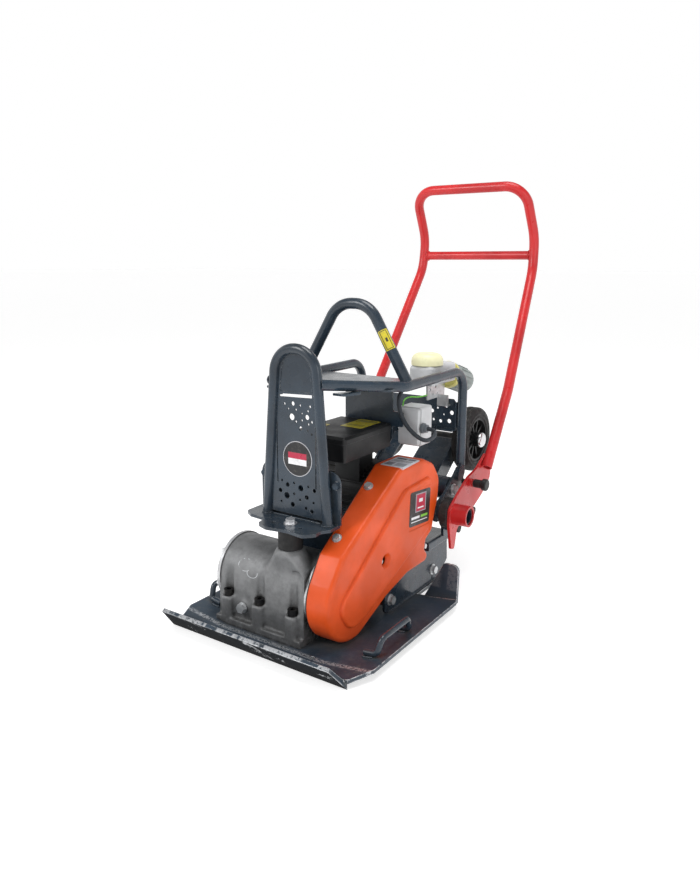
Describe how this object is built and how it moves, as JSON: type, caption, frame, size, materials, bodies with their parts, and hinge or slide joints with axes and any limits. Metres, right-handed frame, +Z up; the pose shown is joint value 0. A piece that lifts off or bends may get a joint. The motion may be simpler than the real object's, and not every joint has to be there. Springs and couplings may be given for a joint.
{
  "type": "plate compactor",
  "caption": "Vibrating plate compactor with belt-driven exciter, tubular frame with lifting loop, fold-over handle and swing-down transport wheels.",
  "frame": {"origin": "on the ground under the flat sole, on the machine's centre plane, 191 mm behind the sole's front bend", "axes": "+Z up, +Y towards the handle and operator, +X the side with the belt guard"},
  "size_m": [0.45, 0.952, 0.913],
  "materials": {
    "slate_paint": "semi-gloss, worn",
    "cast_aluminium": "as cast",
    "orange_plastic": "moulded, slightly faded",
    "red_paint": "gloss",
    "black_paint": "satin",
    "black_plastic": "fine grain",
    "grey_plastic": "smooth",
    "yellow_plastic": "smooth",
    "green_plastic": "smooth",
    "rubber": "matt",
    "tyre": "matt",
    "wire": "smooth",
    "zinc": "zinc plated",
    "black_steel": "oiled black",
    "steel": "machined"
  },
  "bodies": {
    "machine": {"base_plate": "slate_paint", "side_ribs": "slate_paint", "plate_handles": "slate_paint", "chassis_deck": "slate_paint", "front_gusset": "slate_paint", "front_hoop": "slate_paint", "hoop_panel": "slate_paint", "frame_rail_right": "slate_paint", "frame_rail_left": "slate_paint", "lifting_loop": "slate_paint", "cross_plate": "slate_paint", "bulkhead": "slate_paint", "rear_panel": "slate_paint", "side_brackets": "slate_paint", "pivot_tube": "slate_paint", "exciter_housing": "cast_aluminium", "belt_guard": "orange_plastic", "motor_body": "black_paint", "end_shields": "black_paint", "fan_cowl": "black_paint", "guard_backplate": "black_paint", "control_box": "black_plastic", "control_box_lid": "black_plastic", "switch_box": "grey_plastic", "inlet_body": "grey_plastic", "inlet_shroud": "grey_plastic", "cable_gland": "grey_plastic", "front_mount": "rubber", "rear_mounts": "rubber", "stop_buffers": "rubber", "v_belt": "rubber", "power_cable": "rubber", "earth_wire": "wire", "cover_screws": "zinc", "drain_plug": "zinc", "guard_screws": "zinc", "rib_bolts": "zinc", "frame_bolts": "zinc", "inlet_bracket": "zinc", "housing_bolts": "black_steel", "exciter_covers": "steel", "exciter_bearings": "steel"},
    "eccentric": {"eccentric_shaft": "steel", "driven_pulley": "steel"},
    "rotor": {"rotor_shaft": "steel", "cooling_fan": "black_plastic", "drive_pulley": "steel"},
    "handle": {"handle_tube": "red_paint", "handle_plates": "red_paint"},
    "plunger_pin_right": {"plunger_right": "black_plastic"},
    "plunger_pin_left": {"plunger_left": "black_plastic"},
    "carriage": {"wheel_carriage": "slate_paint", "wheel_axle": "zinc"},
    "wheel_right": {"tyre_right": "tyre", "rim_right": "black_plastic"},
    "wheel_left": {"tyre_left": "tyre", "rim_left": "black_plastic"},
    "cap": {"inlet_cap": "yellow_plastic"},
    "start": {"start_button": "green_plastic"},
    "stop": {"stop_button": "black_plastic"}
  },
  "joints": [
    {"name": "rotor_spin", "type": "hinge", "parent": "machine", "child": "rotor", "pos_m": [0, 0.178, 0.235], "axis": [1, 0, 0], "continuous": true},
    {"name": "eccentric_spin", "type": "hinge", "parent": "machine", "child": "eccentric", "pos_m": [0, -0.052, 0.095], "axis": [1, 0, 0], "continuous": true},
    {"name": "handle_fold", "type": "hinge", "parent": "machine", "child": "handle", "pos_m": [0, 0.273, 0.18], "axis": [1, 0, 0], "range_deg": [0, 105]},
    {"name": "plunger_pull_right", "type": "slide", "parent": "handle", "child": "plunger_pin_right", "axis": [1, 0, 0], "range_m": [0, 0.008], "stiffness_N_per_m": 500, "springref_m": -0.006},
    {"name": "plunger_pull_left", "type": "slide", "parent": "handle", "child": "plunger_pin_left", "axis": [-1, 0, 0], "range_m": [0, 0.008], "stiffness_N_per_m": 500, "springref_m": -0.006},
    {"name": "carriage_fold", "type": "hinge", "parent": "machine", "child": "carriage", "pos_m": [0, 0.337, 0.214], "axis": [1, 0, 0], "range_deg": [-87, 0]},
    {"name": "wheel_spin_right", "type": "hinge", "parent": "carriage", "child": "wheel_right", "pos_m": [0.115, 0.471, 0.303], "axis": [1, 0, 0], "continuous": true},
    {"name": "wheel_spin_left", "type": "hinge", "parent": "carriage", "child": "wheel_left", "pos_m": [-0.115, 0.471, 0.303], "axis": [1, 0, 0], "continuous": true},
    {"name": "cap_open", "type": "hinge", "parent": "machine", "child": "cap", "pos_m": [0.08, 0.345, 0.506], "axis": [-1, 0, 0], "range_deg": [0, 95], "stiffness_Nm_per_rad": 0.06, "springref_deg": -45.84},
    {"name": "start_press", "type": "slide", "parent": "machine", "child": "start", "axis": [0, -1, 0], "range_m": [0, 0.003], "stiffness_N_per_m": 700, "springref_m": -0.001},
    {"name": "stop_press", "type": "slide", "parent": "machine", "child": "stop", "axis": [0, -1, 0], "range_m": [0, 0.003], "stiffness_N_per_m": 700, "springref_m": -0.001}
  ],
  "couplings": [
    {"joint": "eccentric_spin", "follows": "rotor_spin", "ratio": 0.85714}
  ]
}
